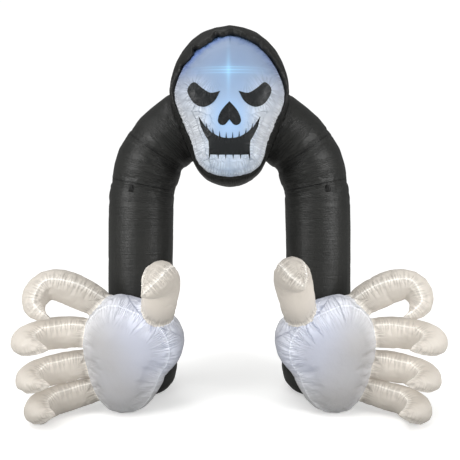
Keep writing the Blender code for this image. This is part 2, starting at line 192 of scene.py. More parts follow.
def seam_field(places, seams):
    """For each place: how far along the nearest seam it lies, and how far from that seam."""
    line = np.vstack([SEAMS[name][0] for name in seams])
    along = np.concatenate([SEAMS[name][1] + APART * turn for turn, name in enumerate(seams)])
    tree = kdtree.KDTree(len(line))
    for turn, point in enumerate(line):
        tree.insert(point, turn)
    tree.balance()
    found = [tree.find(place)[1:] for place in places]
    nearest = np.array([hit[0] for hit in found])
    away = np.array([hit[1] for hit in found])
    ahead = np.roll(line, -1, axis=0) - line
    size = np.linalg.norm(ahead, axis=1)
    ahead[size > 2 * SEAM_STEP] = 0.0
    ahead /= np.maximum(size, SEAM_STEP)[:, None]
    slip = np.clip(np.einsum("ij,ij->i", places - line[nearest], ahead[nearest]), -SEAM_STEP, SEAM_STEP)
    return along[nearest] + slip, away


def tree_of(mesh):
    """A mesh as a tree for finding the nearest point on it."""
    faces = [tuple(face.vertices) for face in mesh.polygons]
    return bvhtree.BVHTree.FromPolygons(places_of(mesh).tolist(), faces)


def bury_end(piece, seam, neighbours):
    """Moves the sewn end of a piece on into its neighbour, so that no gap opens round the seam."""
    places = places_of(piece.data)
    trees = [tree_of(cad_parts[node].data) for node in neighbours]
    points = SEAMS[seam][0]
    into = np.linalg.svd(points - points.mean(axis=0))[2][2]
    low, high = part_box(neighbours[0])
    into *= np.sign(into @ (np.array((low + high) / 2) - points.mean(axis=0)))
    for place in places:
        if any(tree.find_nearest(Vector(place), 0.0015)[0] for tree in trees):
            place += into * BURIED
    put_places(piece.data, places)


def blow_up(name, nodes, seams, voxel, ease=0.005, cap=0.009, extra=0.035, buried=()):
    """Solids sewn edge to edge, as one blown-up form. ease is how far the cloth starts inside the solid, cap
    the most that a point moves, extra how much too big the cloth is cut, and buried the seam and the
    neighbours of an end that is sewn to something else."""
    copies = [cloth_copy(node, f"{name}_{node}") for node in nodes]
    piece = copies[0]
    if buried:
        bury_end(piece, buried[0], buried[1:])
    for other in copies:
        other.select_set(True)
    bpy.context.view_layer.objects.active = piece
    if len(copies) > 1:
        bpy.ops.object.join()
    piece.name = name
    remesh = piece.modifiers.new("squares", "REMESH")
    remesh.mode = "VOXEL"
    remesh.voxel_size = voxel
    apply_all(piece)
    mesh = piece.data
    start = places_of(mesh)
    away = seam_field(start, seams)[1]
    held = np.clip(1.0 - (away - 0.6 * voxel) / voxel, 0.0, 1.0)
    held[start[:, 2] < 0.6 * voxel] = 1.0
    put_places(mesh, start - normals_of(mesh) * (ease * (1.0 - held))[:, None])
    pins = piece.vertex_groups.new(name="seam")
    for index in np.flatnonzero(held > 0.02):
        pins.add([int(index)], float(held[index]), "REPLACE")
    air = piece.modifiers.new("air", "CLOTH")
    cloth = air.settings
    cloth.quality = 3
    cloth.mass = 0.15
    cloth.tension_stiffness = cloth.compression_stiffness = 18.0
    cloth.shear_stiffness = 6.0
    cloth.bending_stiffness = 0.05
    cloth.use_pressure = True
    cloth.uniform_pressure_force = 4.0
    cloth.shrink_min = -extra
    cloth.vertex_group_mass = "seam"
    cloth.effector_weights.gravity = 0.0
    air.collision_settings.use_collision = False
    for number in range(1, FRAMES + 1):
        bpy.context.scene.frame_set(number)
    apply_all(piece)
    bpy.context.scene.frame_set(1)
    moved = places_of(mesh) - start
    far = np.linalg.norm(moved, axis=1)
    put_places(mesh, start + moved * np.minimum(1.0, cap / np.maximum(far, 1e-9))[:, None])
    piece.vertex_groups.clear()
    return piece


# %% [markdown]
# ## Seams that run over one piece
#
# The hood has a seam round its widest line and one down its back, each leg has one down its back, and each
# digit is sewn from two panels. The solids don't show these, so we lay a guide line near each and drop it
# on the solid. One more line isn't sewn at all: the inner front of each bend, where the tube is squeezed
# into level wrinkles.

# %% Lay seams over the hood, the legs and the digits


def laid_seam(node, guide):
    """A seam line on a solid's surface, under a guide line beside it."""
    work = loose_copy(node)
    tree = bvhtree.BVHTree.FromBMesh(work)
    work.free()
    guide = even_line(guide, closed=False)[0]
    return even_line([tree.find_nearest(Vector(point))[0] for point in guide], closed=False)


HEAD_UP = 2.170  # metres from the floor to the middle of the head
HOOD_MIDDLE = MIDDLE + Vector((0.0, -0.030, HEAD_UP))
OUTSIDE = 0.75  # metres from there to a guide line, well outside the hood
turns = [math.radians(degrees) for degrees in range(-80, 262, 6)]
guide = [Vector((OUTSIDE * math.cos(turn), 0.04, OUTSIDE * math.sin(turn))) for turn in turns]
SEAMS["hood_ring"] = laid_seam("hood", [HOOD_MIDDLE + point for point in guide])
turns = [math.radians(degrees) for degrees in range(96, 265, 6)]
guide = [Vector((0.0, -OUTSIDE * math.cos(turn), OUTSIDE * math.sin(turn))) for turn in turns]
SEAMS["hood_back"] = laid_seam("hood", [HOOD_MIDDLE + point for point in guide])
for side, hand in SIDES:
    guide = [MIDDLE + Vector((side * 0.69, 0.36, height)) for height in (0.02, 0.5, 1.0, 1.6)]
    SEAMS[f"leg_back_{hand}"] = laid_seam(f"leg_{hand}", guide)
    guide = ((0.56, 0.2), (0.56, 1.45), (0.53, 1.62), (0.49, 1.74), (0.43, 1.84), (0.34, 1.93), (0.22, 2.01))
    guide = [MIDDLE + Vector((side * out, -0.22, up)) for out, up in guide]
    SEAMS[f"bend_{hand}"] = even_line(guide, closed=False)

# Each digit's centre line on the left hand: distance from the passage's middle, y, height and radius
DIGIT_LINES = {
    "thumb": (
        (0.520, -0.400, 0.560, 0.108), (0.474, -0.558, 0.820, 0.123), (0.446, -0.692, 0.988, 0.119),
        (0.492, -0.812, 0.938, 0.084), (0.550, -0.850, 0.898, 0.012),
    ),
    "index": (
        (0.860, -0.400, 0.730, 0.090), (1.070, -0.415, 0.850, 0.114), (1.275, -0.440, 0.893, 0.108),
        (1.330, -0.530, 0.765, 0.076), (1.205, -0.592, 0.700, 0.012),
    ),
    "middle": (
        (0.910, -0.400, 0.548, 0.094), (1.135, -0.415, 0.563, 0.113), (1.348, -0.505, 0.557, 0.105),
        (1.340, -0.670, 0.543, 0.079), (1.160, -0.775, 0.538, 0.012),
    ),
    "ring": (
        (0.890, -0.400, 0.345, 0.092), (1.105, -0.415, 0.324, 0.108), (1.318, -0.505, 0.300, 0.103),
        (1.320, -0.670, 0.290, 0.077), (1.155, -0.772, 0.304, 0.012),
    ),
    "little": (
        (0.850, -0.400, 0.170, 0.088), (1.045, -0.430, 0.138, 0.099), (1.238, -0.540, 0.108, 0.103),
        (1.250, -0.705, 0.104, 0.086), (1.115, -0.800, 0.122, 0.012),
    ),
}
# How far a right tip lies further in and further up than the left one
RIGHT_REACH = {
    "thumb": (0.075, 0.050), "index": (0.035, 0.008), "middle": (0.004, 0.0), "ring": (0.020, 0.008),
    "little": (0.030, 0.0),
}
# Where the two panel seams lie, in degrees round the digit from its palm side
PANEL_TURNS = {digit: (45, -130) for digit in DIGIT_LINES} | {"thumb": (140, -140)}


def digit_rows(digit, side):
    inward, raised = RIGHT_REACH[digit] if side > 0 else (0.0, 0.0)
    rows = []
    for turn, (out, y, up, radius) in enumerate(DIGIT_LINES[digit]):
        share = turn / (len(DIGIT_LINES[digit]) - 1)
        place = MIDDLE + Vector((side * (out - inward * share), y, up + raised * share))
        rows.append((*place, radius))
    rows = np.array(rows)
    fine = np.linspace(0, len(rows) - 1, 33)
    smooth = np.column_stack([np.interp(fine, range(len(rows)), rows[:, axis]) for axis in range(4)])
    for _ in range(6):
        smooth[1:-1] = (smooth[:-2] + 2 * smooth[1:-1] + smooth[2:]) / 4
    return smooth


for side, hand in SIDES:
    for digit, angles in PANEL_TURNS.items():
        rows = digit_rows(digit, side)
        for number, degrees in enumerate(angles):
            palm_side = Vector((0.0, -1.0, 0.0))
            guide = []
            for row, ahead in zip(rows[:-1], rows[1:]):
                forward = Vector(ahead[:3] - row[:3]).normalized()
                palm_side = (palm_side - forward * palm_side.dot(forward)).normalized()
                across = palm_side.cross(forward) * side
                turn = math.radians(degrees)
                outward = palm_side * math.cos(turn) + across * math.sin(turn)
                guide.append(Vector(row[:3]) + outward * row[3] * 1.15)
            SEAMS[f"{digit}_panel{number}_{hand}"] = laid_seam(f"{digit}_{hand}", guide)
print("seams in all:", len(SEAMS))

# %% [markdown]
# ## The jaw line and the black patches' outlines
#
# A second row of stitches runs round the jaw, about 30 mm in from the face's seam. The eyes, the nose and
# the mouth are flat black cloth sewn on the face. Their outlines are seams of the face too, because the
# thread there gathers the face a little. The front of a patch's solid is a surface with one free edge. We
# walk along that edge to get the outline.

# %% Outlines of the face patches
PATCHES = ("eye_left", "eye_right", "nose", "mouth")


def patch_outline(node):
    work = loose_copy(node)
    bmesh.ops.delete(work, geom=[face for face in work.faces if face.normal.y > -0.3], context="FACES")
    edge = next(edge for edge in work.edges if edge.is_boundary)
    vertex, points = edge.verts[0], []
    while True:
        points.append(vertex.co.copy())
        vertex = edge.other_vert(vertex)
        following = [other for other in vertex.link_edges if other.is_boundary and other is not edge]
        if not following or (vertex.co - points[0]).length < 1e-6:
            break
        edge = following[0]
    work.free()
    return even_line(points, closed=True)


JAW_SHARE = 0.93  # size of the jaw line against the face's seam
line = SEAMS["face"][0] - np.array(MIDDLE + Vector((0.0, 0.0, HEAD_UP)))
line = line[line[:, 2] < -0.16] * (JAW_SHARE, 1.0, JAW_SHARE)
line += np.array(MIDDLE + Vector((0.0, -0.12, HEAD_UP)))
SEAMS["jaw"] = laid_seam("skull_face", line[np.argsort(np.arctan2(line[:, 0], HEAD_UP - line[:, 2]))])
for patch in PATCHES:
    SEAMS[patch] = patch_outline(patch)
    print(f"{patch}: edge {SEAMS[patch][1][-1] * 1000:.0f} mm")

# %% [markdown]
# ## Gathers
#
# Beside a seam the simulated cloth has wide soft folds. The narrow folds are finer than its squares, so
# they are moved in afterwards. Each one starts at the seam, runs off from it and fades out. No two have the
# same depth and length: every fold takes its own numbers from a seeded list.

# %% Draw the gathers into a piece


def gathers(along, away, spacing, depth, reach, seed):
    """How far cloth sinks into its folds, for points that far along a seam and away from it."""
    deep, long, shift = np.random.default_rng(seed).random((3, 512))
    lean = 0.30 * np.sin(along * 9.1 + seed)
    spot = (along + away * lean) / spacing
    fold = np.floor(spot).astype(int) % 512
    off = spot - np.floor(spot) - 0.5 - (shift[fold] - 0.5) * 0.3
    fade = np.clip(1.0 - away / (reach * (0.35 + 1.1 * long[fold])), 0.0, 1.0)
    return -depth * (0.2 + deep[fold]) * np.exp(-((off / (0.10 + 0.08 * fade)) ** 2)) * fade**1.5


def mark(mesh, name, along, away, free):
    """Keeps a field on the mesh for the material to read."""
    field = mesh.attributes.new(name, "FLOAT_VECTOR", "POINT")
    field.data.foreach_set("vector", np.column_stack([along, away, free]).ravel())


def swells(places, size, seed):
    """A slow rise and fall over a piece, from -1 to 1."""
    source = np.random.default_rng(seed)
    waves = source.normal(size=(7, 3)) * 2.0 * math.pi / size
    return np.sin(places @ waves.T + source.random(7) * 6.3).sum(axis=1) / 3.5


def gather(piece, seams, folds, ridge=-0.002, unevenness=0.002, lines=None, calm=None):
    """One subdivision, then the folds and a seam that stands up (ridge over 0) or sinks in. The folds run off
    from the seams or from other lines. calm gives how far each place is free to fold, from 0 to 1."""
    fine = piece.modifiers.new("fine", "SUBSURF")
    fine.levels = fine.render_levels = 1
    apply_all(piece)
    mesh = piece.data
    places = places_of(mesh)
    along, away = seam_field(places, seams)
    run, off = seam_field(places, lines) if lines else (along, away)
    free = calm(places) if calm else np.ones(len(places))
    sink = ridge * np.exp(-((away / 0.006) ** 2))
    sink += unevenness * swells(places, 0.30, len(places)) * np.clip(away / 0.06, 0.0, 1.0)
    for turn, (spacing, depth, reach) in enumerate(folds):
        sink += gathers(run, off, spacing, depth, reach, 7 + turn) * np.clip(away / 0.018, 0.12, 1.0) * free
    sink *= np.clip((places[:, 2] - 0.002) / 0.04, 0.0, 1.0)
    put_places(mesh, places + normals_of(mesh) * sink[:, None])
    mark(mesh, "seam", along, away, free)
    mark(mesh, "fold", run, off, free)
    print(f"{piece.name}: deepest fold {-sink.min() * 1000:.1f} mm")
    return piece


# %% [markdown]
# ## Parting and trimming
#
# Pieces that are sewn edge to edge were blown up as one form, so no gap shows between them. Now each piece
# takes its own part of it: a copy is cut at the seam's plane and closed there. An end that went on into a
# neighbour is trimmed the other way: each of its points that lies inside the neighbour moves out to the
# neighbour's surface.

# %% Part a form at its seams, trim an end and finish a piece
CLEAR = 0.0002  # metres between a trimmed or parted face and its seam


def seam_cut(seam, keep):
    """The plane through a flat seam, and its direction away from a point that is kept."""
    points = SEAMS[seam][0]
    middle = points.mean(axis=0)
    away = np.linalg.svd(points - middle)[2][2]
    away *= -np.sign(away @ (np.array(keep) - middle))
    return middle - away * CLEAR, away


def part(form, node, *seams):
    """A copy of a form, cut down to one solid's own part."""
    low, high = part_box(node)
    own = bpy.data.objects.new(f"cloth_{node}", form.data.copy())
    bpy.context.scene.collection.objects.link(own)
    select_only(own)
    bpy.ops.object.mode_set(mode="EDIT")
    for seam in seams:
        place, away = seam_cut(seam, (low + high) / 2)
        bpy.ops.mesh.select_all(action="SELECT")
        bpy.ops.mesh.bisect(plane_co=place, plane_no=away, use_fill=True, clear_outer=True)
    bpy.ops.object.mode_set(mode="OBJECT")
    return own


def trim(piece, seam, neighbour, clear=CLEAR):
    """Moves the points near a seam that lie inside the neighbour out to its surface."""
    tree = tree_of(neighbour.data)
    places = places_of(piece.data)
    away = seam_field(places, [seam])[1]
    for index in np.flatnonzero(away < 0.20):
        hit, normal, _, _ = tree.find_nearest(Vector(places[index]))
        if (Vector(places[index]) - hit).dot(normal) < clear:
            places[index] = hit + normal * clear
    put_places(piece.data, places)


def finish(piece, node, material):
    piece.name = f"cloth_{node}"
    select_only(piece)
    bpy.ops.object.shade_smooth_by_angle(angle=math.radians(60))
    piece.data.materials.clear()
    piece.data.materials.append(material)
    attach(piece, "root")
    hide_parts(node)
    print(f"{node}: {sum(len(face.vertices) - 2 for face in piece.data.polygons)} triangles")
    return piece


# %% [markdown]
# ## Finishes
#
# All the cloth is polyester taffeta of about 190 threads an inch: thin, crisp and a little shiny. On it the
# eye sees fine creases at each seam, a soft shine and a row of stitches. One function turns a colour code
# into light, and one adds a node with its settings and links.

# %% Colours and nodes
MATH, VECTOR, MIX = "ShaderNodeMath", "ShaderNodeVectorMath", "ShaderNodeMix"  # the kinds used most
RANGE, NOISE = "ShaderNodeMapRange", "ShaderNodeTexNoise"


def linear(code):
    parts = [int(code[start : start + 2], 16) / 255 for start in (1, 3, 5)]
    return (*(part / 12.92 if part <= 0.04045 else ((part + 0.055) / 1.055) ** 2.4 for part in parts), 1.0)


def add(tree, kind, inputs=None, **settings):
    """One node. inputs holds a value or another node's output for each socket, by its name or number."""
    made = tree.nodes.new(kind)
    for name, value in settings.items():
        setattr(made, name, value)
    for name, value in (inputs or {}).items():
        if isinstance(value, bpy.types.NodeSocket):
            tree.links.new(value, made.inputs[name])
        else:
            made.inputs[name].default_value = value
    return made


# %% [markdown]
# ### The surface of sewn taffeta
#
# The threads lie 0.13 mm apart, which no view shows, so they are drawn 5 mm apart and kept faint. The small
# creases are thin valleys 12 to 25 mm apart. They run off from a line, so they follow the fold attribute:
# its first number runs along the line, its second is the distance from it, and the third says how free the
# cloth is to fold. The stitches lie 6 mm from the seam. Real ones are 3 mm long. They are drawn 5 mm long,
# one every 8 mm.

# %% Taffeta's bump
THREAD_SCALE = 62.0  # waves of 5 mm, as a wave texture repeats every 0.314 of its own units
THREAD_HEIGHT = 0.04  # millimetres, as every height here
STITCH_OFF, STITCH_HALF, STITCH_PACE = 0.006, 0.0013, 0.008  # metres
STITCH_HEIGHT = 0.5


def taffeta_bump(tree, creases, pitch, reach, crumple, level_lines=0.0):
    """The bump of sewn taffeta. creases, crumple and level_lines are heights in millimetres, pitch is how
    many creases a metre holds and reach how far they run."""
    spot = add(tree, "ShaderNodeTexCoord").outputs["Object"]
    seam = add(tree, "ShaderNodeAttribute", attribute_name="seam").outputs["Vector"]
    seam = add(tree, "ShaderNodeSeparateXYZ", {0: seam})
    fold = add(tree, "ShaderNodeAttribute", attribute_name="fold").outputs["Vector"]
    parts = add(tree, "ShaderNodeSeparateXYZ", {0: fold})
    fade = add(tree, RANGE, {"Value": parts.outputs[1], 1: 0.0, 2: reach, 3: 1.0, 4: 0.0},
               interpolation_type="SMOOTHSTEP")
    drawn = add(tree, VECTOR, {0: fold, 1: (pitch, 5.0, 0.0)}, operation="MULTIPLY")
    noise = add(tree, NOISE, {"Vector": drawn.outputs[0], "Scale": 1.0, "Detail": 1.0})
    off = add(tree, MATH, {0: noise.outputs["Fac"], 1: 0.5}, operation="SUBTRACT")
    far = add(tree, MATH, {0: off.outputs[0]}, operation="ABSOLUTE")
    valley = add(tree, RANGE, {"Value": far.outputs[0], 1: 0.0, 2: 0.10, 3: -1.0, 4: 0.5},
                 interpolation_type="SMOOTHSTEP")
    free = add(tree, MATH, {0: fade.outputs[0], 1: parts.outputs[2]}, operation="MULTIPLY")
    line = add(tree, MATH, {0: valley.outputs[0], 1: free.outputs[0]}, operation="MULTIPLY").outputs[0]
    height = add(tree, MATH, {0: line, 1: creases}, operation="MULTIPLY").outputs[0]
    soft = add(tree, NOISE, {"Vector": spot, "Scale": 17.0, "Detail": 5.0, "Roughness": 0.6})
    inputs = {0: soft.outputs["Fac"], 1: crumple, 2: height}
    height = add(tree, MATH, inputs, operation="MULTIPLY_ADD").outputs[0]
    if level_lines:
        flat = add(tree, VECTOR, {0: spot, 1: (4.0, 4.0, 60.0)}, operation="MULTIPLY")
        level = add(tree, NOISE, {"Vector": flat.outputs[0], "Scale": 1.0, "Detail": 3.0})
        inputs = {0: level.outputs["Fac"], 1: level_lines, 2: height}
        height = add(tree, MATH, inputs, operation="MULTIPLY_ADD").outputs[0]
    inputs = {"Vector": spot, "Scale": THREAD_SCALE, "Distortion": 0.6}
    thread = add(tree, "ShaderNodeTexWave", inputs, bands_direction="Z")
    inputs = {0: thread.outputs["Fac"], 1: THREAD_HEIGHT, 2: height}
    height = add(tree, MATH, inputs, operation="MULTIPLY_ADD").outputs[0]
    row = add(tree, MATH, {0: seam.outputs[1], 1: STITCH_OFF, 2: STITCH_HALF}, operation="COMPARE")
    turn = add(tree, MATH, {0: seam.outputs[0], 1: 2 * math.pi / STITCH_PACE}, operation="MULTIPLY")
    wave = add(tree, MATH, {0: turn.outputs[0]}, operation="SINE")
    dash = add(tree, MATH, {0: wave.outputs[0], 1: -0.5}, operation="GREATER_THAN")
    stitch = add(tree, MATH, {0: row.outputs[0], 1: dash.outputs[0]}, operation="MULTIPLY")
    inputs = {0: stitch.outputs[0], 1: STITCH_HEIGHT, 2: height}
    height = add(tree, MATH, inputs, operation="MULTIPLY_ADD").outputs[0]
    bump = add(tree, "ShaderNodeBump", {"Height": height, "Strength": 1.0, "Distance": 0.001})
    return spot, seam.outputs[1], line, bump.outputs["Normal"]


# %% [markdown]
# ### Black taffeta of the legs and hood
#
# Black polyester taffeta with a thin waterproof coating inside. It is never pure black: the filament's
# shine lifts it to a warm dark grey where it faces the light, in a soft band down each leg. The dye varies
# a little. The colour is painted darker in each crease's valley and lighter between creases, as shade, and
# the seam itself is a darker line.

# %% Black coated taffeta


def black_taffeta(name, dark, light, roughness, creases, pitch, reach, crumple, lines):
    material = bpy.data.materials.new(name)
    material.use_nodes = True
    tree = material.node_tree
    shader = tree.nodes["Principled BSDF"]
    spot, away, line, normal = taffeta_bump(tree, creases, pitch, reach, crumple, lines)
    cloud = add(tree, NOISE, {"Vector": spot, "Scale": 6.0, "Detail": 4.0})
    tint = add(tree, MIX, {0: cloud.outputs["Fac"], 6: linear(dark), 7: linear(light)}, data_type="RGBA")
    # Painted shade in the creases: the colour is darker in each valley and lighter between them. Along the
    # seam itself it is a darker line.
    edge = add(tree, RANGE, {"Value": away, 1: 0.003, 2: 0.008, 3: 0.3, 4: 1.0})
    share = add(tree, MATH, {0: line, 1: 0.35, 2: edge.outputs[0]}, operation="MULTIPLY_ADD")
    crease_shaded = add(tree, VECTOR, {0: tint.outputs[2], "Scale": share.outputs[0]}, operation="SCALE")
    tree.links.new(crease_shaded.outputs[0], shader.inputs["Base Color"])
    tree.links.new(normal, shader.inputs["Normal"])
    shader.inputs["Roughness"].default_value = roughness
    shader.inputs["Specular IOR Level"].default_value = 0.34
    return material


LEG_BLACK = black_taffeta("black_coated_taffeta", "#1f201f", "#2b2b29", 0.44, 1.6, 75.0, 0.42, 2.5, 1.6)
PATCH_BLACK = black_taffeta("black_patch_cloth", "#1b1d1f", "#25282a", 0.38, 0.8, 60.0, 0.05, 3.0, 2.4)
print("black finishes:", LEG_BLACK.name, PATCH_BLACK.name)

# %% [markdown]
# ### White taffeta, lit from inside
#
# The hands and the skull are the same cloth in white. Small cool lamps hang inside, and their light comes
# through, strongest where a lamp is near the cloth. The emission here is that light. It fades with the
# distance from each lamp's place, in Object coordinates, so it stays on the cloth. Beside each seam the
# colour is lighter: a thin pale line where the cloth lies double, and a broad painted highlight of the
# brighter gathered rim. The creases are painted darker, as shade.

# %% White translucent taffeta


def lamp_glow(tree, spot, lamps):
    """Light through the cloth: for each lamp its place, how far its light reaches and how strong it is."""
    total = None
    for place, reach, strength in lamps:
        far = add(tree, VECTOR, {0: spot, 1: place}, operation="DISTANCE")
        near = add(tree, RANGE, {"Value": far.outputs["Value"], 1: 0.0, 2: reach, 3: strength, 4: 0.0},
                   interpolation_type="SMOOTHERSTEP")
        total = near.outputs[0] if total is None else add(
            tree, MATH, {0: near.outputs[0], 1: total}, operation="ADD").outputs[0]
    return total


def white_taffeta(name, cloth, shade, rim, lit_rim_reach, light, lamps, creases, pitch, reach, dress=None):
    """rim is the lighter tone beside a seam: a thin pale line on the seam, where the cloth lies double, and a
    broad painted highlight of the brighter gathered rim, whose width the next argument gives. dress is a
    function that adds a piece's own painted light and shade."""
    material = bpy.data.materials.new(name)
    material.use_nodes = True
    tree = material.node_tree
    shader = tree.nodes["Principled BSDF"]
    spot, away, line, normal = taffeta_bump(tree, creases, pitch, reach, 2.5)
    cloud = add(tree, NOISE, {"Vector": spot, "Scale": 4.0, "Detail": 3.0})
    tint = add(tree, MIX, {0: cloud.outputs["Fac"], 6: linear(cloth), 7: linear(shade)}, data_type="RGBA")
    # Beside each seam the colour is lighter: a thin pale line where the cloth lies double, and out to the
    # given reach a painted highlight of the brighter gathered rim.
    for near, wide, most in ((0.0, lit_rim_reach, 0.5), (0.003, 0.007, 0.8)):
        edge = add(tree, RANGE, {"Value": away, 1: near, 2: wide, 3: most, 4: 0.0})
        tint = add(tree, MIX, {0: edge.outputs[0], 6: tint.outputs[2], 7: linear(rim)}, data_type="RGBA")
    tint, extra = dress(tree, spot, away, tint.outputs[2]) if dress else (tint.outputs[2], (0.0, 0.0, 0.0))
    # Painted shade in the creases: the colour and the lamp light are darker in each valley and lighter
    # between them.
    share = add(tree, MATH, {0: line, 1: 0.16, 2: 1.0}, operation="MULTIPLY_ADD").outputs[0]
    crease_shaded = add(tree, VECTOR, {0: tint, "Scale": share}, operation="SCALE")
    lit = add(tree, VECTOR, {0: linear(light)[:3], "Scale": lamp_glow(tree, spot, lamps)}, operation="SCALE")
    both = add(tree, VECTOR, {0: lit.outputs[0], 1: extra}, operation="ADD")
    glow = add(tree, VECTOR, {0: both.outputs[0], "Scale": share}, operation="SCALE")
    tree.links.new(crease_shaded.outputs[0], shader.inputs["Base Color"])
    tree.links.new(glow.outputs[0], shader.inputs["Emission Color"])
    tree.links.new(normal, shader.inputs["Normal"])
    shader.inputs["Emission Strength"].default_value = 1.0
    shader.inputs["Roughness"].default_value = 0.48
    shader.inputs["Specular IOR Level"].default_value = 0.4
    return material


HAND_LAMPS = [
    (MIDDLE + Vector((side * 0.50, -0.60, 0.50)), 0.42, 0.20) for side, _ in SIDES
] + [(MIDDLE + Vector((side * 0.66, -0.55, 0.74)), 0.34, 0.19) for side, _ in SIDES]
DIGIT_LAMPS = [(MIDDLE + Vector((side * 1.26, -0.60, 0.50)), 0.95, 0.36) for side, _ in SIDES] + [
    (MIDDLE + Vector((side * 0.48, -0.72, 0.86)), 0.42, 0.46) for side, _ in SIDES]
FACE_LAMPS = [
    (MIDDLE + Vector((0.0, -0.58, 2.36)), 0.50, 0.20), (MIDDLE + Vector((0.0, -0.58, 2.14)), 0.40, 0.14),
    (MIDDLE + Vector((0.0, -0.58, 2.02)), 0.24, 0.36), (MIDDLE + Vector((0.0, -0.54, 1.76)), 0.34, 0.22),
]
GLINT = MIDDLE + Vector((-0.006, -0.60, 2.352))  # where the lamp inside shows as a cross of light


def hump(tree, spot, middle, wide, tall):
    """A soft spot of 1 at a place on the face, that falls off by a width and a height."""
    off = add(tree, VECTOR, {0: spot, 1: middle}, operation="SUBTRACT")
    scaled = add(tree, VECTOR, {0: off.outputs[0], 1: (1.0 / wide, 0.0, 1.0 / tall)}, operation="MULTIPLY")
    squared = add(tree, VECTOR, {0: scaled.outputs[0], 1: scaled.outputs[0]}, operation="DOT_PRODUCT")
    flipped = add(tree, MATH, {0: squared.outputs["Value"], 1: -1.0}, operation="MULTIPLY")
    return add(tree, MATH, {0: flipped.outputs[0]}, operation="EXPONENT").outputs[0]


def face_painted_light(tree, spot, away, tint):
    """Painted light and shade: darker blue-grey cloth colour down the middle and on the forehead, for the
    lamp's blue light and the brim's shade, a painted shadow of the brim at the upper left, the forehead's
    dart, and the cross of light.
    """
    apart = add(tree, "ShaderNodeSeparateXYZ", {0: spot})
    chin = add(tree, RANGE, {"Value": apart.outputs[2], 1: 1.92, 2: 1.80, 3: 0.0, 4: 0.16})
    side = add(tree, MATH, {0: apart.outputs[0]}, operation="ABSOLUTE")
    side = add(tree, MATH, {0: side.outputs[0], 1: chin.outputs[0]}, operation="ADD").outputs[0]
    # Painted light and shade: the colour turns a darker blue-grey down the middle of the face and up the
    # forehead, where the lamp's blue light shows and the brim shades the forehead.
    for value, start, end, tone in ((side, 0.22, 0.06, "#9ba6b7"), (apart.outputs[2], 2.06, 2.42, "#858fa5")):
        shade_mask = add(tree, RANGE, {"Value": value, 1: start, 2: end}, interpolation_type="SMOOTHSTEP")
        tint = add(tree, MIX, {0: shade_mask.outputs[0], 6: tint, 7: linear(tone)}, data_type="RGBA").outputs[2]
    # Painted shadow of the brim: a deep blue along the face's edge at its upper left.
    high = add(tree, RANGE, {"Value": apart.outputs[2], 1: 2.30, 2: 2.46, 3: 0.0, 4: 0.8})
    left = add(tree, RANGE, {"Value": apart.outputs[0], 1: 0.10, 2: -0.15, 3: 0.35, 4: 1.0})
    under = add(tree, RANGE, {"Value": away, 1: 0.11, 2: 0.05, 3: 0.0, 4: 1.0})
    shade_mask = add(tree, MATH, {0: high.outputs[0], 1: left.outputs[0]}, operation="MULTIPLY")
    shade_mask = add(tree, MATH, {0: shade_mask.outputs[0], 1: under.outputs[0]}, operation="MULTIPLY")
    tint = add(tree, MIX, {0: shade_mask.outputs[0], 6: tint, 7: linear("#5f76b8")}, data_type="RGBA").outputs[2]
    dart = hump(tree, spot, GLINT + Vector((0.010, 0.0, 0.222)), 0.0035, 0.028)
    tint = add(tree, MIX, {0: dart, 6: tint, 7: linear("#4a5468")}, data_type="RGBA").outputs[2]
    cross = None
    for x, z, wide, tall, strength in ((0.0, 0.0, 0.014, 0.13, 0.20), (0.0, 0.0, 0.040, 0.06, 0.10),
                                       (0.0, 0.020, 0.16, 0.004, 0.20), (0.0, 0.002, 0.14, 0.004, 0.23),
                                       (0.0, -0.018, 0.16, 0.004, 0.18), (0.02, 0.0, 0.20, 0.030, 0.14)):
        shine = hump(tree, spot, GLINT + Vector((x, 0.0, z)), wide, tall)
        inputs = {0: shine, 1: strength, 2: cross if cross else 0.0}
        cross = add(tree, MATH, inputs, operation="MULTIPLY_ADD").outputs[0]
    return tint, add(tree, VECTOR, {0: linear("#7fd2ee")[:3], "Scale": cross}, operation="SCALE").outputs[0]


# The fourth colour and the number after it are the lighter tone beside the seams: a thin pale line and a
# painted highlight of the gathered rim, up to 120 mm wide on the palms, 30 mm on the digits and 80 mm on the
# face.
PALM_WHITE = white_taffeta("white_palm_taffeta", "#b3b4b9", "#b0adab", "#f2f3f6", 0.12, "#a0b8f0", HAND_LAMPS,
                           3.0, 42.0, 0.20)
DIGIT_WHITE = white_taffeta("white_digit_taffeta", "#b6b0a8", "#aca69d", "#efebe4", 0.03, "#d4ccc2",
                            DIGIT_LAMPS, 2.2, 50.0, 0.10)
FACE_WHITE = white_taffeta("face_lit_taffeta", "#cacfd7", "#c2c7d0", "#eceff3", 0.08, "#70b4ee", FACE_LAMPS,
                           1.8, 50.0, 0.11, face_painted_light)
print("white finishes:", PALM_WHITE.name, DIGIT_WHITE.name, FACE_WHITE.name)

# %% [markdown]
# ## The black arch
#
# Each leg is a plain tube. Two mitred gores turn it inward to the hood: a gore is a wedge of tube, sewn on
# a slant at each end, and it is how a straight tube of cloth is bent. The bend squeezes the cloth on its
# inner side, so many thin wrinkles run round the tube there.

# %% Hood, legs and gores
# Folds here and below are rows of spacing, depth and reach, in metres
HOOD_FOLDS = ((0.045, 0.0015, 0.10),)
BEND_FOLDS = ((0.045, 0.0022, 0.30), (0.110, 0.0035, 0.36))


def bend_calm(places):
    """Only the bend is squeezed: the straight leg below it is nearly smooth."""
    return np.clip((places[:, 2] - 1.15) / 0.45, 0.12, 1.0)


